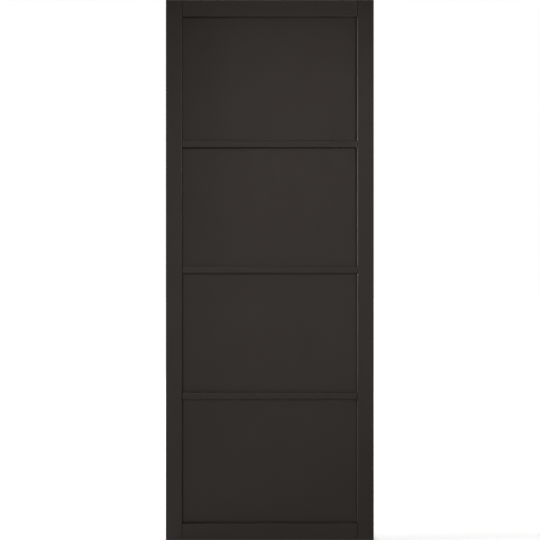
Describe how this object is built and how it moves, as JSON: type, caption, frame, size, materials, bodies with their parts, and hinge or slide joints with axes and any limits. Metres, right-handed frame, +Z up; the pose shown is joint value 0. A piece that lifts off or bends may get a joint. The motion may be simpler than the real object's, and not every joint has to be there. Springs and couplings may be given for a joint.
{
  "type": "interior door leaf",
  "caption": "Painted timber door leaf: flush stiles, rails and slim cross bars with eased edges hold flat recessed panels in grooves, with hidden dowels in the joints.",
  "frame": {"origin": "middle of the leaf's bottom edge, halfway through its thickness", "axes": "+X across the leaf to the right as seen from the front, -Y out of the front face, +Z up the leaf"},
  "size_m": [0.762, 0.035, 1.981],
  "materials": {
    "frame_paint": "satin",
    "panel_paint": "satin",
    "dowel_beech": "matte"
  },
  "bodies": {
    "root": {"left_stile": "frame_paint", "right_stile": "frame_paint", "top_rail": "frame_paint", "upper_bar": "frame_paint", "middle_bar": "frame_paint", "lower_bar": "frame_paint", "bottom_rail": "frame_paint", "top_panel": "panel_paint", "upper_middle_panel": "panel_paint", "lower_middle_panel": "panel_paint", "bottom_panel": "panel_paint", "rail_dowels": "dowel_beech", "bar_dowels": "dowel_beech"}
  },
  "joints": []
}
